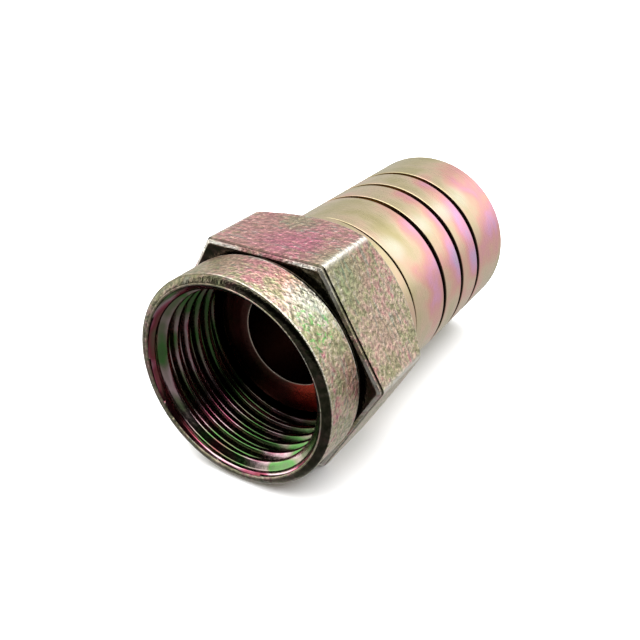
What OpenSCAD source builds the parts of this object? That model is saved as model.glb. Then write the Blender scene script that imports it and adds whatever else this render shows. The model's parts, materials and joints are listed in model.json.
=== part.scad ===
// Crimp-type male F connector for coaxial cable.
// The axis lies along Y with the mouth towards -Y. The origin is on the axis,
// in the plane of the post's front face, where the mating port seats.

/* [Coupling nut] */
// Distance from the seating plane forward to the mouth
mouth_depth = 4.9; // [4.0:0.1:6.0]
// Outer diameter of the round collar at the mouth
collar_d = 10.8; // [10.5:0.1:11.0]
// Length of the round collar
collar_len = 2.55; // [2.0:0.05:2.8]
// Diameter of the narrow neck between the collar and the hexagon
neck_d = 10.36; // [10.1:0.02:10.4]
// Length of that neck
neck_len = 0.36; // [0.3:0.02:0.5]
// Hexagon width across flats
hex_af = 11.0; // [10.9:0.1:11.2]
// Bevel along the hexagon's front edges
hex_bevel = 0.3; // [0.15:0.05:0.35]
// Radius on the six long edges of the hexagon
hex_edge_r = 0.3; // [0.2:0.05:0.5]
// Distance from the seating plane back to the nut's rear face
nut_back = 3.04; // [2.8:0.02:3.4]
// Diameter of the nut's rear face inside its 45 degree chamfer
nut_back_d = 10.5; // [10.3:0.1:10.8]
// Radius on the outer edge of the mouth
lip_r = 0.22; // [0.1:0.02:0.3]
// Minor diameter of the inside thread
thread_minor_d = 8.76; // [8.66:0.02:8.86]
// Diameter of the bevel at the mouth
mouth_bevel_d = 9.94; // [9.7:0.02:10.0]
// Diameter of the relief behind the thread
relief_d = 9.6; // [9.5:0.05:9.7]
// Distance from the seating plane forward to the last thread
thread_gap = 0.16; // [0.1:0.02:0.4]

/* [Post] */
// Diameter of the post's front flange
flange_d = 8.4; // [8.2:0.05:8.6]
// Thickness of the flange
flange_t = 1.1; // [0.8:0.05:1.3]
// Diameter of the neck that the nut turns on
post_neck_d = 7.16; // [7.0:0.02:7.3]
// Radial running clearance between the nut and the neck
run_clear = 0.06; // [0.02:0.01:0.1]
// Diameter of the hole through the post
post_bore_d = 5.2; // [5.0:0.05:5.3]
// Diameter of the thin tail
tail_d = 6.0; // [5.9:0.05:6.2]
// Distance from the seating plane to the tail's end
tail_end = 15.2; // [13.0:0.1:15.6]
// Bevel on the rim of the hole in the front face
rim_bevel = 0.08; // [0.04:0.01:0.15]

/* [Crimp sleeve] */
// Axial gap between moving faces
axial_gap = 0.1; // [0.06:0.01:0.2]
// Diameter of the sleeve's front collar
front_d = 10.3; // [10.1:0.05:10.5]
// Diameter of the barrel
barrel_d = 9.94; // [9.6:0.02:10.1]
// Distance from the seating plane to the sleeve's rear end
barrel_end = 15.9; // [14.5:0.1:17.0]
// Inner diameter of the barrel
barrel_bore_d = 8.3; // [8.1:0.05:8.5]
// Length of the solid front of the sleeve
sleeve_front_len = 2.4; // [1.8:0.1:2.8]
// Place of the fine groove behind the front collar
seam_y = 4.05; // [3.95:0.01:4.3]
// Width of the fine groove
seam_w = 0.28; // [0.1:0.02:0.36]
// Place of the first barrel groove
groove_y = 7.66; // [7.2:0.02:8.0]
// Distance between barrel grooves
groove_pitch = 2.28; // [2.0:0.02:2.5]
// Number of barrel grooves
groove_n = 3; // [1:1:3]
// Width of a barrel groove at the surface
groove_w = 0.38; // [0.2:0.02:0.5]
// Depth of the grooves
groove_depth = 0.24; // [0.1:0.02:0.3]

/* [Hidden] */
$fn = 128;

mouth_y = -mouth_depth;
collar_end = mouth_y + collar_len;
hex_front = collar_end + neck_len;
nut_bore_d = post_neck_d + 2 * run_clear;
lip_front = flange_t + axial_gap;
sleeve_front = nut_back + axial_gap;
sleeve_step = sleeve_front + sleeve_front_len;
bevel_in = (mouth_bevel_d - thread_minor_d) / 2;
hex_c = hex_af / 2 / cos(30);

// A profile of [radius, y] points turned about the Y axis.
module turned(points) {
    rotate([-90, 0, 0]) rotate_extrude() polygon(points);
}

// Quarter-round points from angle a0 to a1 about [cx, cy].
function arc(cx, cy, r, a0, a1, n = 6) =
    [for (i = [0:n]) let (a = a0 + (a1 - a0) * i / n) [cx + r * cos(a), cy + r * sin(a)]];

// The hexagon's outline with a small radius on each corner, flats up and down.
module hex_outline() {
    cc = (hex_af / 2 - hex_edge_r) / cos(30);
    polygon([for (i = [0:5]) for (s = [-30:20:30])
        [cc * cos(60 * i) + hex_edge_r * cos(60 * i + s),
         cc * sin(60 * i) + hex_edge_r * sin(60 * i + s)]]);
}

// Hexagonal part of the nut, bevelled along its front edges and coned at the back.
module hex_body() {
    intersection() {
        difference() {
            translate([0, hex_front, 0]) rotate([-90, 0, 0])
                linear_extrude(height = nut_back - hex_front) hex_outline();
            for (i = [0:5]) rotate([0, 60 * i, 0])
                translate([0, hex_front, hex_af / 2 - hex_bevel]) rotate([45, 0, 0])
                    translate([-6, -2, 0]) cube([12, 4, 2]);
        }
        turned([[0, hex_front - 1], [hex_c + 1, hex_front - 1],
                [hex_c + 1, nut_back - (hex_c + 1 - nut_back_d / 2)],
                [nut_back_d / 2, nut_back], [0, nut_back]]);
    }
}

// Everything that is bored out of the nut, mouth to back.
module nut_bore() {
    turned([[0, mouth_y - 1], [mouth_bevel_d / 2 + 1, mouth_y - 1],
            [thread_minor_d / 2, mouth_y + bevel_in],
            [thread_minor_d / 2, -thread_gap],
            [relief_d / 2, -thread_gap + (relief_d - thread_minor_d) / 2 * 0.4],
            [relief_d / 2, lip_front],
            [nut_bore_d / 2, lip_front],
            [nut_bore_d / 2, nut_back + 1], [0, nut_back + 1]]);
}

module coupling_nut() {
    color([0.62, 0.58, 0.42]) difference() {
        union() {
            turned(concat([[0, mouth_y]],
                          arc(collar_d / 2 - lip_r, mouth_y + lip_r, lip_r, -90, 0),
                          [[collar_d / 2, collar_end - 0.06], [collar_d / 2 - 0.06, collar_end],
                           [neck_d / 2, collar_end], [neck_d / 2, hex_front + 0.5],
                           [0, hex_front + 0.5]]));
            hex_body();
        }
        nut_bore();
    }
}

module post() {
    color([0.66, 0.60, 0.44]) turned([
        [post_bore_d / 2 + rim_bevel, 0], [flange_d / 2 - 0.12, 0], [flange_d / 2, 0.12],
        [flange_d / 2, flange_t], [post_neck_d / 2, flange_t],
        [post_neck_d / 2, sleeve_step], [tail_d / 2, sleeve_step],
        [tail_d / 2, tail_end - 0.6], [post_bore_d / 2 + 0.1, tail_end],
        [post_bore_d / 2, tail_end], [post_bore_d / 2, rim_bevel]]);
}

// Profile points of one groove centred on y, walked towards the back.
function groove(y, w, top, d) =
    [[top, y - w / 2], [top - d * 0.55, y - w * 0.36], [top - d, y - w * 0.16],
     [top - d, y + w * 0.16], [top - d * 0.55, y + w * 0.36], [top, y + w / 2]];

module crimp_sleeve() {
    rb = barrel_d / 2;
    rf = front_d / 2;
    color([0.78, 0.72, 0.54]) turned(concat(
        [[post_neck_d / 2, sleeve_front], [rf - 0.1, sleeve_front], [rf, sleeve_front + 0.1],
         [rf, seam_y - seam_w / 2 - 0.06], [rf - 0.06, seam_y - seam_w / 2],
         [rb - groove_depth, seam_y - seam_w / 2 + 0.02], [rb - groove_depth, seam_y + seam_w / 2 - 0.02],
         [rb - 0.04, seam_y + seam_w / 2], [rb, seam_y + seam_w / 2 + 0.04]],
        [for (i = [0:groove_n - 1]) each groove(groove_y + i * groove_pitch, groove_w, rb, groove_depth)],
        arc(rb - 0.15, barrel_end - 0.15, 0.15, 0, 90, 4),
        [[barrel_bore_d / 2 + 0.2, barrel_end], [barrel_bore_d / 2, barrel_end - 0.2],
         [barrel_bore_d / 2, sleeve_step], [post_neck_d / 2, sleeve_step]]));
}

coupling_nut();
post();
crimp_sleeve();
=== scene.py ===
import json
import math

import bpy
import numpy as np
from mathutils import Matrix, Vector, noise


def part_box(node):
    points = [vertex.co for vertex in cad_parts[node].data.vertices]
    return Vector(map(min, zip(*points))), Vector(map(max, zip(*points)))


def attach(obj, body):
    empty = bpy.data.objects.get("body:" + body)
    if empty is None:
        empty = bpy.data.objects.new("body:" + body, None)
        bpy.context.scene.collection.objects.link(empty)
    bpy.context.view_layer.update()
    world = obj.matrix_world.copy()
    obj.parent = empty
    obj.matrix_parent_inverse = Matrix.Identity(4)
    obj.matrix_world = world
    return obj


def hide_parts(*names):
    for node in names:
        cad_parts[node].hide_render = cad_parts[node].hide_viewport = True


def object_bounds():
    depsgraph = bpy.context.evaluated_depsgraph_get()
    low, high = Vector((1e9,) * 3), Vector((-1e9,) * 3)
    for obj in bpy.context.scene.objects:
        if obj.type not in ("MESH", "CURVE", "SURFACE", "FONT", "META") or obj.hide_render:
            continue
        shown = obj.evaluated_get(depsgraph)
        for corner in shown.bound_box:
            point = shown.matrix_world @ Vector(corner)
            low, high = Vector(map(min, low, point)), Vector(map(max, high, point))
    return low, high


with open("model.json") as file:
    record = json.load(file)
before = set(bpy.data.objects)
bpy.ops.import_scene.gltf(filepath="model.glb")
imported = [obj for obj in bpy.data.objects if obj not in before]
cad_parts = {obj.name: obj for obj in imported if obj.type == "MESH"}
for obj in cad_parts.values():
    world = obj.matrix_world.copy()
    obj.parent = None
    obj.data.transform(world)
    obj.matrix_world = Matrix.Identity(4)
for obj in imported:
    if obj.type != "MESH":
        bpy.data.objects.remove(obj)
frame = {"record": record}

CAD_LO, CAD_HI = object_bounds()
MM = 0.001
TAU = 2 * math.pi

# ---------------------------------------------------------------- frame sizes, in mm
nut_lo, nut_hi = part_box("coupling_nut")
post_lo, post_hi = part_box("post")
slv_lo, slv_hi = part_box("crimp_sleeve")
MOUTH = nut_lo.y / MM
NUT_BACK = nut_hi.y / MM
AF2 = nut_hi.z / MM                      # half the size across flats
FLANGE_R = post_hi.z / MM
POST_END = post_hi.y / MM
SLV_FRONT = slv_lo.y / MM
SLV_END = slv_hi.y / MM
SLV_R = slv_hi.z / MM
mounts = {m.get("name"): m for m in frame["record"].get("mounts", [])}
MINOR = 4.38                             # thread minor radius
MAJOR = 4.7625                           # thread major radius
PITCH = 25.4 / 32
BARREL_R = 4.97


# ---------------------------------------------------------------- mesh helpers
def fillet(prev, cur, nxt, rho, n):
    """Arc points that round the corner cur, for arrays of shape (N, 2)."""
    u1 = prev - cur
    u2 = nxt - cur
    u1 = u1 / np.linalg.norm(u1, axis=1, keepdims=True)
    u2 = u2 / np.linalg.norm(u2, axis=1, keepdims=True)
    cosg = np.clip((u1 * u2).sum(1), -0.99999, 0.99999)
    half = np.arccos(cosg) / 2
    t = (rho / np.tan(half))[:, None]
    bis = u1 + u2
    bis = bis / np.linalg.norm(bis, axis=1, keepdims=True)
    c = cur + bis * (rho / np.sin(half))[:, None]
    v1, v2 = cur + u1 * t - c, cur + u2 * t - c
    phi = math.pi - 2 * half
    out = []
    for i in range(n + 1):
        s = i / n
        w1 = (np.sin((1 - s) * phi) / np.sin(phi))[:, None]
        w2 = (np.sin(s * phi) / np.sin(phi))[:, None]
        out.append(c + v1 * w1 + v2 * w2)
    return out


def path_rows(points, n_cols):
    """points: list of (r, y, rho, arc steps, straight steps to the next). r and y may be arrays.
    Returns rows of (N, 2) and a weight per row, 1 on rounded edges."""
    P = []
    for p in points:
        a = np.zeros((n_cols, 2))
        a[:, 0] = p[0]
        a[:, 1] = p[1]
        P.append(a)
    rows, edge = [], []
    last = None
    for i, p in enumerate(points):
        rho, n = p[2], p[3]
        if rho and 0 < i < len(points) - 1:
            arc = fillet(P[i - 1], P[i], P[i + 1], rho, n)
        else:
            arc = [P[i]]
        if last is not None:
            m = points[i - 1][4]
            for k in range(1, m + 1):
                s = k / (m + 1)
                s = 0.5 - 0.5 * math.cos(math.pi * s) if m > 2 else s
                rows.append(last * (1 - s) + arc[0] * s)
                edge.append(0.0)
        for a in arc:
            rows.append(a)
            edge.append(1.0 if len(arc) > 1 else 0.0)
        last = arc[-1]
    return rows, edge


def make_object(name, verts, faces, sharp=None):
    me = bpy.data.meshes.new(name)
    me.from_pydata([tuple(v) for v in verts], [], [tuple(int(i) for i in f) for f in faces])
    me.validate()
    me.update()
    ob = bpy.data.objects.new(name, me)
    bpy.context.scene.collection.objects.link(ob)
    for poly in me.polygons:
        poly.use_smooth = True
    return ob


def paint(ob, name, values):
    """A float per vertex that the materials read."""
    a = ob.data.attributes.new(name, "FLOAT", "POINT")
    a.data.foreach_set("value", np.asarray(values, dtype=np.float32))


def outward(ob):
    """Turns the faces to point out of the closed solid."""
    me = ob.data
    vol = 0.0
    co = np.zeros(len(me.vertices) * 3)
    me.vertices.foreach_get("co", co)
    co = co.reshape(-1, 3)
    for p in me.polygons:
        v = [co[i] for i in p.vertices]
        for k in range(1, len(v) - 1):
            vol += np.dot(v[0], np.cross(v[k], v[k + 1]))
    if vol < 0:
        me.flip_normals()
    me.update()


def wobble(p, size, seed):
    """Smooth value from -1 to 1 at a point in mm."""
    return noise.noise(Vector((p[0] / size + seed * 7.3, p[1] / size - seed * 3.1, p[2] / size + seed * 1.7)))


def lathe(name, rows, theta, jitter=None):
    """Closed ring of rows (a torus in topology): rows[k] is (N, 2) of r, y."""
    n = len(theta)
    m = len(rows)
    R = np.stack([r[:, 0] for r in rows])
    Y = np.stack([r[:, 1] for r in rows])
    X = R * np.sin(theta)[None, :]
    Z = R * np.cos(theta)[None, :]
    V = np.stack([X, Y, Z], axis=2).reshape(-1, 3)
    F = []
    for k in range(m):
        k2 = (k + 1) % m
        for j in range(n):
            j2 = (j + 1) % n
            F.append((k * n + j, k * n + j2, k2 * n + j2, k2 * n + j))
    ob = make_object(name, V * MM, F)
    outward(ob)
    return ob


# ---------------------------------------------------------------- the coupling nut
SECT = 60
N = 6 * SECT
t = (np.arange(SECT) / SECT) * 2 - 1
phi = np.radians(30) * (t + 0.72 * np.sin(math.pi * t) / math.pi)
theta = np.concatenate([phi + math.radians(60 * i) for i in range(6)])
loc = np.concatenate([phi] * 6)           # angle from the middle of the flat


def hex_r(apothem, rho):
    """Radius of a hexagon with rounded corners in each column."""
    a = np.abs(loc)
    cc = (apothem - rho) / math.cos(math.radians(30))
    edge_from = math.atan2((apothem - rho) * math.tan(math.radians(30)), apothem)
    psi = math.radians(30) - a
    flat = apothem / np.cos(a)
    disc = np.maximum(rho ** 2 - (cc * np.sin(psi)) ** 2, 0)
    corner = cc * np.cos(psi) + np.sqrt(disc)
    return np.where(a <= edge_from, flat, corner)


COLLAR_R, NECK_R = 5.4, 5.18
COLLAR_END = MOUTH + 2.55
HEX_FRONT = COLLAR_END + 0.36
BACK_R = 5.25
r_flat = hex_r(AF2, 0.3)
r_edge = hex_r(AF2 - 0.10, 0.28)
r_strip = hex_r(AF2 - 0.28, 0.22)
y_cone = NUT_BACK - (r_flat - BACK_R)
LIP_FRONT = 1.2
LIP_R = 3.64
RELIEF_R = 4.8
THREAD_END = -0.16
LIP_IN = 4.90
EDGE_R = 0.06

# rounded lip of the mouth, from the inner edge out to the collar
lip_w, lip_h = COLLAR_R - LIP_IN - EDGE_R - 0.02, 0.26
pts = []
for i in range(0, 6):
    a = math.radians(18 * i)
    pts.append((LIP_IN + EDGE_R * (1 - math.cos(a)), MOUTH + EDGE_R * (1 - math.sin(a)), 0, 0, 0))
for i in range(0, 13):
    a = math.radians(90 - 90 * i / 12)
    pts.append((COLLAR_R - lip_w + lip_w * math.cos(a) ** 1.15, MOUTH + lip_h * (1 - math.sin(a) ** 1.15), 0, 0, 0))
pts[-1] = (COLLAR_R, MOUTH + lip_h, 0, 0, 15)
N_LIP = len(pts)
pts.append((COLLAR_R, COLLAR_END, 0.055, 5, 1))
pts.append((NECK_R, COLLAR_END, 0.05, 4, 2))
pts.append((NECK_R, HEX_FRONT, 0.05, 4, 3))
pts.append((r_strip, HEX_FRONT, 0.03, 3, 2))
pts.append((r_edge, HEX_FRONT + 0.10, 0.05, 3, 1))
pts.append((r_flat, HEX_FRONT + 0.27, 0.09, 4, 20))
pts.append((r_flat, y_cone, 0.09, 5, 4))
pts.append((BACK_R, NUT_BACK, 0.08, 4, 5))
pts.append((LIP_R, NUT_BACK, 0.08, 4, 6))
pts.append((LIP_R, LIP_FRONT, 0.06, 3, 5))
pts.append((RELIEF_R, LIP_FRONT, 0.08, 3, 4))
pts.append((RELIEF_R, THREAD_END + 0.17, 0, 0, 1))
outer_rows, outer_edge = path_rows(pts, N)

# helical thread: rows follow the helix, and clamp to a ring at each end
K = 14
half_crest, half_root = 0.12, 0.11
u_list = ([-half_crest, -half_crest / 3, half_crest / 3, half_crest]
          + [half_crest + (0.5 - half_root - half_crest) * q for q in (0.18, 0.5, 0.82)]
          + [0.5 - half_root, 0.5 - half_root / 3, 0.5 + half_root / 3, 0.5 + half_root]
          + [0.5 + half_root + (0.5 - half_root - half_crest) * q for q in (0.18, 0.5, 0.82)])
u_list = np.array(u_list)
PHASE = -0.22


def thread_depth(u):
    """0 on the crest to 1 in the root, for a phase u in pitches."""
    w = np.abs((u + 0.5) % 1.0 - 0.5)
    s = np.clip((w - half_crest) / (0.5 - half_root - half_crest), 0, 1)
    return s * s * (3 - 2 * s) * 0.45 + s * 0.55


y_a, y_b = MOUTH + EDGE_R, THREAD_END + 0.17
n_turns = int(math.ceil((y_b - y_a) / PITCH)) + 2
s_all = np.concatenate([u_list + k for k in range(n_turns)])
y0 = y_a - PITCH * 1.0 - PITCH * ((PHASE) % 1.0)
M = len(s_all)
yy = y0 + PITCH * s_all[:, None] + PITCH * (theta[None, :] - theta[0]) / TAU
uu = np.broadcast_to(s_all[:, None], yy.shape)
yc = np.clip(yy, y_a, y_b)


def smax(a, b, k):
    h = np.clip(0.5 + 0.5 * (a - b) / k, 0, 1)
    return b * (1 - h) + a * h + k * h * (1 - h)


rr = MINOR + (MAJOR - MINOR) * thread_depth(uu)
# the thread fades out at its inner end and into the bevel at the mouth
fade = np.clip((THREAD_END + 0.1 - yc) / 0.5, 0, 1)
bevel = LIP_IN - (yc - y_a) * 1.0
rr = smax(rr, bevel, 0.05)
runout = RELIEF_R - (y_b - yc) * 1.6
rr = smax(rr, runout, 0.05)
rr = np.where(yy <= y_a, LIP_IN, rr)
rr = np.where(yy >= y_b, RELIEF_R, rr)

n_out = len(outer_rows)
R = np.stack([r[:, 0] for r in outer_rows])
Y = np.stack([r[:, 1] for r in outer_rows])
V = [np.stack([R * np.sin(theta), Y, R * np.cos(theta)], axis=2).reshape(-1, 3)]
F = []
for k in range(n_out - 1):
    for j in range(N):
        j2 = (j + 1) % N
        F.append((k * N + j, k * N + j2, (k + 1) * N + j2, (k + 1) * N + j))
ids = np.zeros((M, N), int)
extra = []
fold = []
nxt = n_out * N
eps = 0.006
for i in range(M):
    for j in range(N):
        if yy[i, j] <= y_a + eps:
            ids[i, j] = j                          # first outer row: the lip's inner edge
        elif yy[i, j] >= y_b - eps:
            ids[i, j] = (n_out - 1) * N + j        # last outer row: the relief's start
        else:
            ids[i, j] = nxt
            nxt += 1
            extra.append((rr[i, j] * math.sin(theta[j]), yc[i, j], rr[i, j] * math.cos(theta[j])))
            fold.append(0.5 + 0.5 * math.cos(TAU * (uu[i, j] - 0.22)))
V.append(np.array(extra))
V = np.concatenate(V)
for i in range(M - 1):
    for j in range(N):
        if j < N - 1:
            q = (ids[i, j], ids[i + 1, j], ids[i + 1, j + 1], ids[i, j + 1])
        elif i + 1 + K < M:
            q = (ids[i, j], ids[i + 1, j], ids[i + 1 + K, 0], ids[i + K, 0])
        else:
            continue
        q = [v for k, v in enumerate(q) if v != q[k - 1]]
        if len(set(q)) >= 3:
            F.append(tuple(q))

# worn, slightly uneven surface: only ever inwards, so the nut stays in its box
edge_w = np.zeros(len(V))
edge_w[: n_out * N] = np.repeat(np.array(outer_edge), N)
outside = np.zeros(len(V))
r_v = np.hypot(V[:, 0], V[:, 2])
outside[: n_out * N] = (r_v[: n_out * N] > 5.0).astype(float)
Vd = V.copy()
for i in range(n_out * N):
    if outside[i]:
        p = V[i]
        a = 0.5 + 0.5 * wobble(p, 1.6, 1)
        b = 0.5 + 0.5 * wobble(p, 0.55, 2)
        d = 0.010 * a + 0.008 * b + edge_w[i] * 0.014 * max(0.0, wobble(p, 0.4, 3))
        s = 1 - d / r_v[i]
        Vd[i, 0] *= s
        Vd[i, 2] *= s
nut = make_object("coupling_nut_plated", Vd * MM, F)
outward(nut)

# Bright rubbed edges, with painted highlight on the hex corners, along the hex's front edge and on the mouth's lit
# side. A second mask paints shade on the neck, the hex's front chamfer and the mouth's face; inside the bore it only
# changes roughness and bump.
yv = V[:, 1]
ids_all = np.arange(len(V))
row_no = ids_all // N
col_no = ids_all % N
is_out = ids_all < n_out * N
inner = (~is_out) | (r_v < LIP_IN - 0.002)
wear_and_highlight = np.where(is_out, edge_w, 0.0)
lip = ids_all < N_LIP * N
th_deg = np.degrees((theta + math.pi) % TAU - math.pi)[col_no]
highlight_side = np.clip(1.15 - np.abs(th_deg - 45) / 75.0, 0.12, 1.0)      # painted highlight: the mouth's edges are brighter towards the lit side
wear_and_highlight[lip] = np.where(row_no[lip] < 6, 0.85 * highlight_side[lip], 0.0)
wear_and_highlight[lip] = np.maximum(wear_and_highlight[lip], np.clip((row_no[lip] - (N_LIP - 4)) / 3.0, 0, 1) * 0.9 * highlight_side[lip])
corner = np.exp(-((30 - np.degrees(np.abs(loc))) / 1.25) ** 2)[col_no]
hexed = is_out & (yv > HEX_FRONT - 0.01) & (r_v > NECK_R + 0.06) & (~inner)
front_edge = hexed & (yv < HEX_FRONT + 0.45)
off_mid = np.clip((np.degrees(np.abs(loc)) - 11) / 7, 0, 1)[col_no]
# painted highlight: a bright strip along the hex's front edge, away from the middle of each flat
wear_and_highlight = np.where(front_edge, 0.95 * off_mid * np.exp(-((yv - HEX_FRONT - 0.055) / 0.055) ** 4), wear_and_highlight)
back_edge = hexed & (yv > HEX_FRONT + 0.45)
wear_and_highlight = np.where(back_edge, wear_and_highlight * 0.30, wear_and_highlight)
# the hex corners: rubbed, and a painted highlight along each ridge
wear_and_highlight = np.where(hexed & (yv > HEX_FRONT + 0.03), np.maximum(wear_and_highlight, corner), wear_and_highlight)
wear_and_highlight[inner] = 0.0
painted_shade = np.zeros(len(V))
# painted shade in the neck between the collar and the hex
neck = is_out & (~inner) & (yv > COLLAR_END - 0.004) & (yv < HEX_FRONT + 0.004) & (r_v > NECK_R - 0.1)
neck &= ~((yv < COLLAR_END + 0.004) & (r_v > COLLAR_R - 0.06))
painted_shade[neck] = 1.0
# painted shade: a dark line on the hex's front chamfer
chamfer = hexed & (yv > HEX_FRONT + 0.125) & (yv < HEX_FRONT + 0.255)
painted_shade[chamfer] = 0.85
painted_shade[inner] = 1.0
# painted shade on the mouth's face, darkest on its right side
mouth_face = lip & (row_no >= 7) & (row_no < N_LIP - 3)
painted_shade[mouth_face] = np.clip(1.5 - np.abs(th_deg[mouth_face] - 75) / 90.0, 0.62, 1.0)
wear_and_highlight = wear_and_highlight * (1 - painted_shade * (~inner))
paint(nut, "wear_and_highlight", wear_and_highlight)
paint(nut, "painted_shade", painted_shade)
paint(nut, "inside", inner.astype(float))
ridge = np.zeros(len(V))
ridge[n_out * N:] = fold
paint(nut, "ridge", ridge)

# ---------------------------------------------------------------- the post
NP = 256
th_p = np.arange(NP) / NP * TAU
STEP_Y = SLV_FRONT + 2.4
post_pts = [
    (2.6, 0.5, 0, 0, 1),
    (2.6, 0.14, 0.035, 4, 2),
    (3.05, 0.05, 0.5, 5, 2),
    (3.5, 0.0, 0.5, 5, 3),
    (FLANGE_R, 0.0, 0.11, 5, 3),
    (FLANGE_R, 1.1, 0.05, 3, 2),
    (3.58, 1.1, 0.05, 3, 6),
    (3.58, STEP_Y, 0.04, 3, 2),
    (3.0, STEP_Y, 0.06, 3, 10),
    (3.0, POST_END - 0.6, 0.3, 4, 2),
    (2.7, POST_END, 0.04, 3, 1),
    (2.6, POST_END, 0.03, 2, 12),
    (2.6, 0.7, 0, 0, 1),
]
rows, _ = path_rows(post_pts, NP)
post = lathe("post_plated", rows, th_p)

# ---------------------------------------------------------------- the crimp sleeve
NS = 360
th_s = np.arange(NS) / NS * TAU
SEAM = 4.05
GROOVES = [7.66, 9.94, 12.22]
RB = BARREL_R


def groove_pts(y, w, depth, lead):
    return [
        (RB, y - w / 2, 0.03, 3, 1),
        (RB - depth, y - w * 0.30, 0.03, 3, 1),
        (RB - depth, y + w * 0.30, 0.03, 3, 1),
        (RB, y + w / 2, 0.045, 4, lead),
    ]


slv_pts = [
    (3.58, SLV_FRONT + 0.3, 0, 0, 1),
    (3.58, SLV_FRONT, 0.04, 3, 4),
    (SLV_R, SLV_FRONT, 0.10, 6, 4),
    (SLV_R, SEAM - 0.20, 0.05, 4, 1),
    (RB - 0.24, SEAM - 0.18, 0.02, 2, 1),
    (RB - 0.24, SEAM + 0.15, 0.02, 2, 1),
    (RB, SEAM + 0.18, 0.03, 4, 12),
]
for g in GROOVES:
    slv_pts += groove_pts(g, 0.38, 0.24, 10)
slv_pts += [
    (RB, SLV_END, 0.15, 7, 3),
    (4.15, SLV_END, 0.12, 5, 14),
    (4.15, STEP_Y, 0.06, 3, 3),
    (3.58, STEP_Y, 0.04, 3, 4),
    (3.58, SLV_FRONT + 0.5, 0, 0, 1),
]
rows, _ = path_rows(slv_pts, NS)
sleeve = lathe("crimp_sleeve_plated", rows, th_s)


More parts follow.
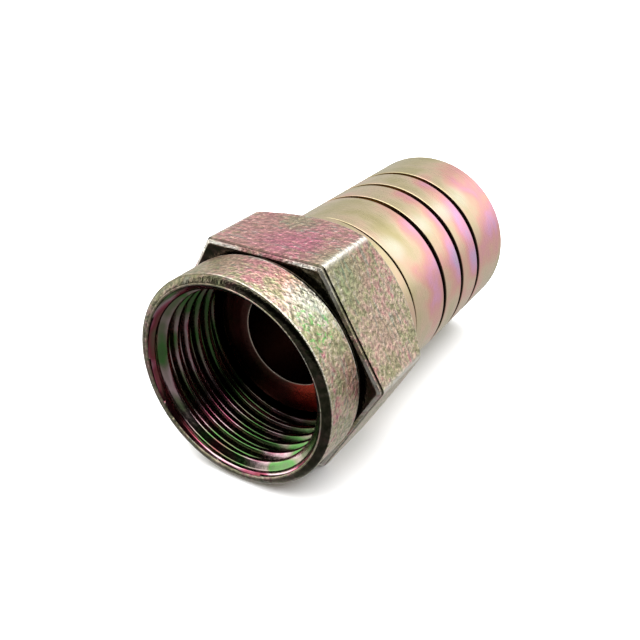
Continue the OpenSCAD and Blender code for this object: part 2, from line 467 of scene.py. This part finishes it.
# ---------------------------------------------------------------- materials
class Nodes:
    """Small builder for a node tree."""

    def __init__(self, name):
        self.mat = bpy.data.materials.new(name)
        self.mat.use_nodes = True
        self.t = self.mat.node_tree
        self.t.nodes.clear()
        self.out = self.t.nodes.new("ShaderNodeOutputMaterial")
        self.bsdf = self.t.nodes.new("ShaderNodeBsdfPrincipled")
        self.t.links.new(self.bsdf.outputs[0], self.out.inputs[0])
        tc = self.t.nodes.new("ShaderNodeTexCoord")
        sc = self.t.nodes.new("ShaderNodeVectorMath")
        sc.operation = "SCALE"
        sc.inputs[3].default_value = 1000.0
        self.t.links.new(tc.outputs["Object"], sc.inputs[0])
        self.p = sc.outputs[0]                 # position in mm
        sep = self.t.nodes.new("ShaderNodeSeparateXYZ")
        self.t.links.new(self.p, sep.inputs[0])
        self.x, self.y, self.z = sep.outputs
        ln = self.t.nodes.new("ShaderNodeVectorMath")
        ln.operation = "LENGTH"
        self.t.links.new(self.vec(self.x, 0.0, self.z), ln.inputs[0])
        self.r = ln.outputs["Value"]

    def attr(self, name):
        n = self.t.nodes.new("ShaderNodeAttribute")
        n.attribute_name = name
        return n.outputs["Fac"]

    def round(self, along, across):
        """Coordinates that run round the axis: along is the scale on the circumference, across the one on y."""
        k = self.math("DIVIDE", 5.0 * along, self.math("MAXIMUM", self.r, 0.5))
        return self.vec(self.mul(self.x, k), self.mul(self.y, across), self.mul(self.z, k))

    def put(self, sock, v):
        if hasattr(v, "is_linked") or hasattr(v, "links"):
            self.t.links.new(v, sock)
        else:
            sock.default_value = v

    def math(self, op, a, b=0.0, c=None, clamp=False):
        n = self.t.nodes.new("ShaderNodeMath")
        n.operation = op
        n.use_clamp = clamp
        self.put(n.inputs[0], a)
        self.put(n.inputs[1], b)
        if c is not None:
            self.put(n.inputs[2], c)
        return n.outputs[0]

    def add(self, *v):
        r = v[0]
        for q in v[1:]:
            r = self.math("ADD", r, q)
        return r

    def mul(self, a, b):
        return self.math("MULTIPLY", a, b)

    def vec(self, x, y, z):
        n = self.t.nodes.new("ShaderNodeCombineXYZ")
        for s, v in zip(n.inputs, (x, y, z)):
            self.put(s, v)
        return n.outputs[0]

    def shift(self, v, off, scale=(1, 1, 1)):
        n = self.t.nodes.new("ShaderNodeMapping")
        self.t.links.new(v, n.inputs["Vector"])
        n.inputs["Location"].default_value = off
        n.inputs["Scale"].default_value = scale
        return n.outputs[0]

    def noise(self, vec, scale, detail=3.0, rough=0.5, distort=0.0, colour=False):
        n = self.t.nodes.new("ShaderNodeTexNoise")
        self.t.links.new(vec, n.inputs["Vector"])
        n.inputs["Scale"].default_value = scale
        n.inputs["Detail"].default_value = detail
        n.inputs["Roughness"].default_value = rough
        n.inputs["Distortion"].default_value = distort
        return n.outputs["Color"] if colour else n.outputs["Fac"]

    def voronoi(self, vec, scale, feature="F1", out="Distance", rand=1.0):
        n = self.t.nodes.new("ShaderNodeTexVoronoi")
        n.feature = feature
        self.t.links.new(vec, n.inputs["Vector"])
        n.inputs["Scale"].default_value = scale
        n.inputs["Randomness"].default_value = rand
        return n.outputs[out]

    def rng(self, v, a, b, c=0.0, d=1.0, smooth=True):
        n = self.t.nodes.new("ShaderNodeMapRange")
        n.interpolation_type = "SMOOTHSTEP" if smooth else "LINEAR"
        self.put(n.inputs[0], v)
        for i, q in enumerate((a, b, c, d)):
            n.inputs[i + 1].default_value = q
        return n.outputs[0]

    def spread(self, v, gain):
        """A noise value moved to be about 0, times gain."""
        return self.math("MULTIPLY_ADD", v, gain, -0.5 * gain)

    def blob(self, centre, radius, amp=1.0, soft=1.0):
        """Soft ball of influence round a point in mm."""
        n = self.t.nodes.new("ShaderNodeVectorMath")
        n.operation = "DISTANCE"
        self.t.links.new(self.p, n.inputs[0])
        n.inputs[1].default_value = centre
        return self.rng(n.outputs["Value"], radius, radius * (1 - soft), 0.0, amp)

    def patch(self, centre, radius, rag, lo=0.30, hi=0.75, amp=1.0):
        """Ragged patch round a point in mm; rag is a noise value that eats its border."""
        n = self.t.nodes.new("ShaderNodeVectorMath")
        n.operation = "DISTANCE"
        self.t.links.new(self.p, n.inputs[0])
        n.inputs[1].default_value = centre
        near = self.math("MULTIPLY_ADD", n.outputs["Value"], -1.0 / radius, 1.0)
        return self.rng(self.math("ADD", near, rag), lo, hi, 0.0, amp)

    def ramp(self, v, stops):
        n = self.t.nodes.new("ShaderNodeValToRGB")
        self.t.links.new(v, n.inputs[0])
        cr = n.color_ramp
        cr.interpolation = "LINEAR"
        while len(cr.elements) > 1:
            cr.elements.remove(cr.elements[-1])
        cr.elements[0].position = stops[0][0]
        cr.elements[0].color = (*stops[0][1], 1)
        for pos, col in stops[1:]:
            e = cr.elements.new(pos)
            e.color = (*col, 1)
        return n.outputs["Color"]

    def mix(self, f, a, b, mode="MIX"):
        n = self.t.nodes.new("ShaderNodeMix")
        n.data_type = "RGBA"
        n.blend_type = mode
        self.put(n.inputs[0], f)
        for s, v in ((n.inputs[6], a), (n.inputs[7], b)):
            self.put(s, v)
        return n.outputs[2]

    def bump(self, height, distance, normal=None, strength=1.0):
        n = self.t.nodes.new("ShaderNodeBump")
        n.inputs["Strength"].default_value = strength
        n.inputs["Distance"].default_value = distance
        self.t.links.new(height, n.inputs["Height"])
        if normal is not None:
            self.t.links.new(normal, n.inputs["Normal"])
        return n.outputs[0]


def lin(r, g, b):
    """sRGB 0-255 to linear."""
    out = []
    for c in (r, g, b):
        c /= 255
        out.append(c / 12.92 if c <= 0.04045 else ((c + 0.055) / 1.055) ** 2.4)
    return tuple(out)


# interference colours of the plating, by film thickness
FILM = [
    (0.00, lin(152, 154, 116)),
    (0.11, lin(190, 180, 142)),
    (0.22, lin(218, 200, 174)),
    (0.33, lin(218, 172, 158)),
    (0.42, lin(208, 136, 146)),
    (0.50, lin(192, 104, 142)),
    (0.57, lin(176, 146, 168)),
    (0.65, lin(132, 166, 156)),
    (0.74, lin(120, 168, 112)),
    (0.86, lin(166, 178, 130)),
    (1.00, lin(204, 194, 156)),
]


def nut_material():
    m = Nodes("nut_plating_look")
    wear_and_highlight = m.attr("wear_and_highlight")
    shade_attr = m.attr("painted_shade")
    inside = m.attr("inside")
    ridge = m.attr("ridge")
    big = m.noise(m.shift(m.p, (3.1, 1.7, 9.2)), 0.6, 2.0, 0.5, 0.5)
    mid = m.noise(m.shift(m.round(1.5, 2.3), (11.0, 5.0, 2.0)), 1.0, 3.0, 0.62, 0.6)
    grain = m.noise(m.p, 3.6, 3.0, 0.60, 0.2)
    pit = m.noise(m.shift(m.p, (5.5, 8.8, 1.1)), 5.4, 2.0, 0.55)
    fleck = m.noise(m.shift(m.p, (1.5, 2.8, 4.1)), 3.8, 3.0, 0.6, 0.3)
    streak = m.noise(m.shift(m.round(0.9, 4.2), (2.0, 7.0, 5.0)), 1.0, 2.0, 0.55, 0.3)
    rag = m.add(m.spread(mid, 1.3), m.spread(grain, 1.1))
    phase = m.add(0.17, m.spread(big, 0.50), m.spread(mid, 0.80), m.spread(grain, 0.70), m.spread(fleck, 0.35))
    ph = m.math("FRACT", m.math("ADD", phase, 2.0))
    col = m.ramp(ph, FILM)

    def lay(col, centre, radius, tint, amp, lo=0.30, hi=0.75):
        return m.mix(m.patch(centre, radius, rag, lo, hi, amp), col, (*lin(*tint), 1))

    # fields of colour in the plating, and one painted highlight
    col = lay(col, (-0.2, 0.2, 5.5), 6.5, (200, 138, 140), 0.78, 0.10, 0.60)
    col = lay(col, (0.7, -0.2, 5.5), 3.4, (200, 104, 140), 0.55, 0.25, 0.90)
    col = lay(col, (-0.6, 1.9, 5.5), 2.0, (150, 164, 122), 0.60, 0.35, 0.85)
    col = lay(col, (3.5, -0.9, 4.7), 2.6, (158, 176, 128), 0.62, 0.20, 0.80)
    col = lay(col, (5.2, 0.2, 1.9), 3.4, (214, 176, 162), 0.50, 0.25, 0.85)
    col = lay(col, (0.7, -3.1, 5.35), 2.2, (204, 132, 142), 0.55, 0.35, 0.95)
    col = lay(col, (2.2, -3.0, 4.9), 1.6, (218, 158, 140), 0.45, 0.35, 0.95)
    # painted highlight: a near-white patch on the collar's upper right
    col = lay(col, (3.3, -3.0, 4.3), 2.2, (238, 238, 222), 0.72, 0.20, 0.90)
    green = m.mul(m.patch((4.1, -3.8, 3.6), 2.3, rag, 0.35, 0.75), m.rng(fleck, 0.50, 0.60))
    col = m.mix(m.mul(green, 0.85), col, (*lin(108, 190, 96), 1))
    col = lay(col, (5.3, -2.7, 1.0), 2.4, (206, 128, 126), 0.50, 0.30, 0.95)
    col = lay(col, (-1.8, -3.6, 5.1), 2.6, (186, 180, 132), 0.55, 0.20, 0.90)
    # teal streaks, and painted glints: pale specks of painted highlight in the grain
    teal = m.mul(m.rng(streak, 0.57, 0.64), m.rng(mid, 0.42, 0.56, 0.05, 0.42))
    col = m.mix(teal, col, (*lin(120, 166, 146), 1))
    painted_glint = m.rng(grain, 0.58, 0.72, 0.0, 0.50)
    col = m.mix(painted_glint, col, (*lin(236, 230, 208), 1))
    pits = m.rng(pit, 0.34, 0.62, 0.58, 1.12)
    col = m.mix(0.9, col, m.vec(pits, pits, pits), "MULTIPLY")
    # rubbed edges, and painted highlights on the edges
    rub_and_highlight = m.mul(wear_and_highlight, m.rng(fleck, 0.30, 0.50, 0.45, 1.0))
    col = m.mix(rub_and_highlight, col, (*lin(246, 242, 230), 1))
    # the thread and the relief: smoother film in green and magenta, with painted shade that darkens them deeper into
    # the bore
    fin = m.noise(m.shift(m.round(0.40, 0.55), (6.0, 2.0, 3.0)), 1.0, 2.0, 0.45, 0.3)
    turn = m.add(m.spread(fin, 1.5), m.mul(ridge, 0.55), 0.30)
    fcol = m.ramp(m.math("FRACT", m.add(turn, 2.0)), [
        (0.00, lin(150, 118, 104)), (0.14, lin(112, 146, 96)), (0.26, lin(104, 160, 88)), (0.38, lin(158, 158, 132)),
        (0.54, lin(232, 200, 204)), (0.70, lin(214, 120, 146)), (0.82, lin(176, 84, 96)), (1.00, lin(150, 118, 104))])
    # painted shade: darker deeper into the bore
    painted_bore_shade = m.rng(m.y, MOUTH + 0.4, MOUTH + 4.6, 0.90, 0.50)
    fcol = m.mix(1.0, fcol, m.vec(painted_bore_shade, painted_bore_shade, painted_bore_shade), "MULTIPLY")
    col = m.mix(inside, col, fcol)
    # painted shade: near-black on the neck, the hex face and the face of the mouth
    shade_paint = m.mul(shade_attr, m.math("SUBTRACT", 1.0, inside))
    shade_paint = m.mul(shade_paint, m.rng(grain, 0.3, 0.7, 1.0, 0.90))
    col = m.mix(m.mul(shade_paint, 0.96), col, (*lin(44, 46, 34), 1))
    m.put(m.bsdf.inputs["Base Color"], col)
    m.bsdf.inputs["Metallic"].default_value = 1.0
    rough = m.rng(pit, 0.3, 0.7, 0.40, 0.27, smooth=False)
    rough = m.math("ADD", rough, m.mul(m.math("MAXIMUM", inside, shade_attr), -0.16))
    m.put(m.bsdf.inputs["Roughness"], rough)
    h = m.add(m.mul(grain, 1.0), m.mul(pit, 0.8))
    calm = m.math("MAXIMUM", inside, m.mul(shade_attr, 0.8))
    h = m.mul(h, m.rng(calm, 0.0, 1.0, 1.0, 0.06, smooth=False))
    m.put(m.bsdf.inputs["Normal"], m.bump(h, 0.000080))
    return m.mat


def post_material():
    m = Nodes("post_plating_look")
    mid = m.noise(m.shift(m.p, (4.0, 1.0, 7.0)), 0.9, 2.0, 0.5, 0.3)
    grain = m.noise(m.p, 5.0, 2.0, 0.5)
    col = m.ramp(m.rng(m.add(mid, m.spread(grain, 0.15)), 0.25, 0.75, smooth=False), [
        (0.00, lin(96, 84, 62)), (0.35, lin(112, 76, 66)), (0.60, lin(126, 84, 76)), (1.00, lin(92, 92, 70))])
    # painted reflection: a warm orange patch low on the face
    col = m.mix(m.blob((1.7, 0.0, -2.8), 2.2, 0.95, 0.7), col, (*lin(255, 112, 84), 1))
    bore = m.mul(m.rng(m.r, 2.66, 2.61), m.rng(m.y, 0.17, 0.22))
    col = m.mix(m.mul(bore, 0.9), col, (*lin(104, 76, 66), 1))
    # painted highlight: a thin bright ring on the rim of the hole
    rim_highlight = m.mul(m.rng(m.r, 2.68, 2.63), m.rng(m.y, 0.21, 0.17))
    col = m.mix(rim_highlight, col, (*lin(232, 222, 205), 1))
    m.put(m.bsdf.inputs["Base Color"], col)
    m.bsdf.inputs["Metallic"].default_value = 1.0
    m.put(m.bsdf.inputs["Roughness"], m.rng(grain, 0.3, 0.7, 0.20, 0.26, smooth=False))
    m.put(m.bsdf.inputs["Normal"], m.bump(grain, 0.000004))
    return m.mat


def sleeve_material():
    m = Nodes("sleeve_plating_look")
    big = m.noise(m.shift(m.p, (2.0, 6.0, 1.0)), 0.24, 2.0, 0.45, 0.2)
    mid = m.noise(m.shift(m.p, (7.0, 3.0, 4.0)), 0.62, 2.0, 0.45, 0.3)
    ring = m.noise(m.round(0.25, 9.0), 1.0, 4.0, 0.75)
    grain = m.noise(m.p, 6.0, 2.0, 0.5)
    # the film thickens towards the edge in front of each groove, more on two sides of the barrel
    build = m.add(m.mul(m.rng(m.y, 5.6, 7.5), m.rng(m.y, GROOVES[0] + 0.05, GROOVES[0])),
                  m.mul(m.mul(m.rng(m.y, 8.2, 9.7), m.rng(m.y, GROOVES[0], GROOVES[0] + 0.05)), m.rng(m.y, GROOVES[1] + 0.05, GROOVES[1])),
                  m.mul(m.mul(m.rng(m.y, 10.4, 11.9), m.rng(m.y, GROOVES[1], GROOVES[1] + 0.05)), m.rng(m.y, GROOVES[2] + 0.05, GROOVES[2])),
                  m.mul(m.rng(m.y, 12.8, 14.4), 0.85))
    across = m.math("DIVIDE", m.add(m.mul(m.x, math.sin(math.radians(48))), m.mul(m.z, math.cos(math.radians(48)))), m.r)
    side = m.rng(m.math("ABSOLUTE", across), 0.66, 0.94)
    low_side = m.rng(m.x, 3.4, 4.9)
    phase = m.add(0.15, m.spread(big, 0.26), m.spread(mid, 0.46), m.spread(ring, 0.04), m.spread(grain, 0.05),
                  m.mul(m.mul(build, side), 0.22), m.mul(side, 0.05), m.mul(low_side, 0.10))
    col = m.ramp(m.rng(phase, 0.0, 1.0, smooth=False), [
        (0.00, lin(190, 180, 126)), (0.12, lin(204, 190, 142)), (0.20, lin(218, 200, 162)), (0.27, lin(230, 200, 170)),
        (0.34, lin(236, 184, 164)), (0.41, lin(238, 172, 174)), (0.48, lin(238, 174, 202)), (0.56, lin(222, 182, 220)),
        (0.66, lin(206, 206, 200)), (0.80, lin(196, 212, 180)), (1.00, lin(200, 196, 150))])
    # painted highlight: near-white patches just behind the seam and each groove, on the upper right of the barrel
    painted_highlight = m.mul(m.mul(side, m.rng(mid, 0.40, 0.62)), 0.0)
    for g in (SEAM + 0.9, GROOVES[0] + 0.75, GROOVES[1] + 0.75, GROOVES[2] + 0.75):
        painted_highlight = m.add(painted_highlight, m.patch((3.1, g, 3.9), 1.25, m.spread(mid, 0.8), 0.15, 0.95, 0.60))
    col = m.mix(m.math("MINIMUM", painted_highlight, 0.8), col, (*lin(236, 234, 214), 1))
    # painted shade: the grooves and the seam are painted near-black, golden brown on the upper left side
    low = m.rng(m.r, BARREL_R - 0.008, BARREL_R - 0.05)
    outer = m.rng(m.r, 4.3, 4.4)
    tint = m.mix(m.rng(m.x, 2.2, -0.6), (*lin(26, 20, 12), 1), (*lin(136, 98, 42), 1))
    col = m.mix(m.mul(m.mul(low, outer), 0.97), col, tint)
    # painted shade inside the sleeve's bore
    painted_bore_shade = m.rng(m.r, 4.3, 4.2)
    col = m.mix(m.mul(painted_bore_shade, 0.6), col, (*lin(90, 76, 52), 1))
    m.put(m.bsdf.inputs["Base Color"], col)
    m.bsdf.inputs["Metallic"].default_value = 1.0
    m.put(m.bsdf.inputs["Roughness"], m.rng(ring, 0.3, 0.7, 0.24, 0.34, smooth=False))
    m.put(m.bsdf.inputs["Normal"], m.bump(m.add(m.mul(ring, 0.7), m.mul(grain, 0.3)), 0.000006))
    return m.mat


nut.data.materials.append(nut_material())
post.data.materials.append(post_material())
sleeve.data.materials.append(sleeve_material())

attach(nut, "nut")
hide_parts("coupling_nut")
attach(post, "ferrule")
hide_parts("post")
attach(sleeve, "ferrule")
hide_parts("crimp_sleeve")

# ---------------------------------------------------------------- floor
FLOOR_Z = CAD_LO.z
FR = 2.0
me = bpy.data.meshes.new("floor")
me.from_pydata([(-FR, -FR, FLOOR_Z), (FR, -FR, FLOOR_Z), (FR, FR, FLOOR_Z), (-FR, FR, FLOOR_Z)], [], [(0, 1, 2, 3)])
floor = bpy.data.objects.new("floor", me)
bpy.context.scene.collection.objects.link(floor)
fm = bpy.data.materials.new("floor_white")
fm.use_nodes = True
fb = fm.node_tree.nodes["Principled BSDF"]
fb.inputs["Base Color"].default_value = (0.9, 0.9, 0.9, 1)
fb.inputs["Roughness"].default_value = 0.9
fb.inputs["Specular IOR Level"].default_value = 0.1
me.materials.append(fm)
floor.visible_glossy = False              # the metal mirrors the studio below, not the bare sheet

# ---------------------------------------------------------------- soft studio light
world = bpy.data.worlds.new("studio")
bpy.context.scene.world = world
world.use_nodes = True
wt = world.node_tree
wt.nodes.clear()
w_out = wt.nodes.new("ShaderNodeOutputWorld")
w_bg = wt.nodes.new("ShaderNodeBackground")
wt.links.new(w_bg.outputs[0], w_out.inputs[0])
w_tc = wt.nodes.new("ShaderNodeTexCoord")


def w_disc(direction, outer_deg, inner_deg, amount):
    """Soft disc of light in the sky: amount inside inner_deg, nothing past outer_deg."""
    d = Vector(direction).normalized()
    dot = wt.nodes.new("ShaderNodeVectorMath")
    dot.operation = "DOT_PRODUCT"
    wt.links.new(w_tc.outputs["Generated"], dot.inputs[0])
    dot.inputs[1].default_value = d
    r = wt.nodes.new("ShaderNodeMapRange")
    r.interpolation_type = "SMOOTHSTEP"
    wt.links.new(dot.outputs["Value"], r.inputs[0])
    r.inputs[1].default_value = math.cos(math.radians(outer_deg))
    r.inputs[2].default_value = math.cos(math.radians(inner_deg))
    r.inputs[3].default_value = 0.0
    r.inputs[4].default_value = amount
    return r.outputs[0]


def w_math(op, a, b):
    n = wt.nodes.new("ShaderNodeMath")
    n.operation = op
    for s, v in zip(n.inputs, (a, b)):
        if hasattr(v, "links"):
            wt.links.new(v, s)
        else:
            s.default_value = v
    return n.outputs[0]


def w_range(v, a, b, c=0.0, d=1.0):
    n = wt.nodes.new("ShaderNodeMapRange")
    n.interpolation_type = "SMOOTHSTEP"
    wt.links.new(v, n.inputs[0])
    for i, q in enumerate((a, b, c, d)):
        n.inputs[i + 1].default_value = q
    return n.outputs[0]


def w_mix(f, a, b):
    return w_math("ADD", w_math("MULTIPLY", a, w_math("SUBTRACT", 1.0, f)), w_math("MULTIPLY", b, f))


w_sep = wt.nodes.new("ShaderNodeSeparateXYZ")
wt.links.new(w_tc.outputs["Generated"], w_sep.inputs[0])
w_z = w_sep.outputs[2]
w_flat = wt.nodes.new("ShaderNodeVectorMath")
w_flat.operation = "MULTIPLY"
wt.links.new(w_tc.outputs["Generated"], w_flat.inputs[0])
w_flat.inputs[1].default_value = (1, 1, 0)
w_nrm = wt.nodes.new("ShaderNodeVectorMath")
w_nrm.operation = "NORMALIZE"
wt.links.new(w_flat.outputs[0], w_nrm.inputs[0])


def w_azimuth(deg, outer, inner):
    """1 within inner degrees of a compass direction from -Y towards +X, 0 past outer."""
    n = wt.nodes.new("ShaderNodeVectorMath")
    n.operation = "DOT_PRODUCT"
    wt.links.new(w_nrm.outputs[0], n.inputs[0])
    n.inputs[1].default_value = (math.sin(math.radians(deg)), -math.cos(math.radians(deg)), 0)
    return w_range(n.outputs["Value"], math.cos(math.radians(outer)), math.cos(math.radians(inner)))


front = w_azimuth(12, 118, 70)
horizon = w_mix(front, 0.66, 0.28)
nadir = w_mix(front, 0.60, 0.20)
lower = w_mix(w_range(w_z, -0.02, -0.46), horizon, nadir)
total = lower
lights = [
    w_disc((0, 0, 1), 52, 24, 2.3),                 # overhead
    w_disc((0.48, 0.74, 0.47), 34, 6, 0.70),        # back right
    w_disc((0.95, 0.27, 0.28), 17, 6, 1.0),         # right
    w_disc((-0.80, -0.25, 0.55), 30, 10, 0.75),     # left
    w_disc((-0.93, -0.36, 0.02), 26, 10, 1.5),      # low left
]
for l in lights:
    total = w_math("ADD", total, l)
gate = w_math("MULTIPLY", w_azimuth(27, 76, 62), w_math("MULTIPLY", w_range(w_z, -0.06, 0.08), w_range(w_z, 0.86, 0.66)))
total = w_math("MULTIPLY", total, w_math("SUBTRACT", 1.0, w_math("MULTIPLY", gate, 0.96)))
# seen straight on, past the floor's edge, the studio is plain white
w_lp = wt.nodes.new("ShaderNodeLightPath")
total = w_mix(w_lp.outputs["Is Camera Ray"], total, 1.0)
wt.links.new(total, w_bg.inputs["Strength"])
w_bg.inputs["Color"].default_value = (1, 1, 1, 1)

# broad lamp that lifts the floor and leaves no mirror image in the metal
sun_data = bpy.data.lights.new("sky_panel", "SUN")
sun_data.energy = 5.0
sun_data.angle = math.radians(100)
sun = bpy.data.objects.new("sky_panel", sun_data)
sun.visible_glossy = False
bpy.context.scene.collection.objects.link(sun)

bpy.context.scene.view_settings.view_transform = "Standard"
bpy.context.scene.view_settings.look = "None"

# ---------------------------------------------------------------- camera
mouth_centre = Vector((0, nut_lo.y, 0))
AZ, EL, ROLL = math.radians(32.35), math.radians(28.82), math.radians(-0.42)
back = Vector((math.sin(AZ) * math.cos(EL), -math.cos(AZ) * math.cos(EL), math.sin(EL)))
right = Vector((math.cos(AZ), math.sin(AZ), 0))
up = back.cross(right)
right, up = (math.cos(ROLL) * right + math.sin(ROLL) * up, -math.sin(ROLL) * right + math.cos(ROLL) * up)
cam_data = bpy.data.cameras.new("camera")
cam_data.lens = 46.28
cam_data.sensor_width = 36.0
cam_data.clip_start = 0.001
cam_data.clip_end = 10.0
cam = bpy.data.objects.new("camera", cam_data)
bpy.context.scene.collection.objects.link(cam)
loc_c = mouth_centre + Vector((20.28, -24.20, 20.57)) * MM
m3 = Matrix((right, up, back)).transposed()
cam.matrix_world = Matrix.Translation(loc_c) @ m3.to_4x4()
bpy.context.scene.camera = cam

bpy.context.view_layer.update()
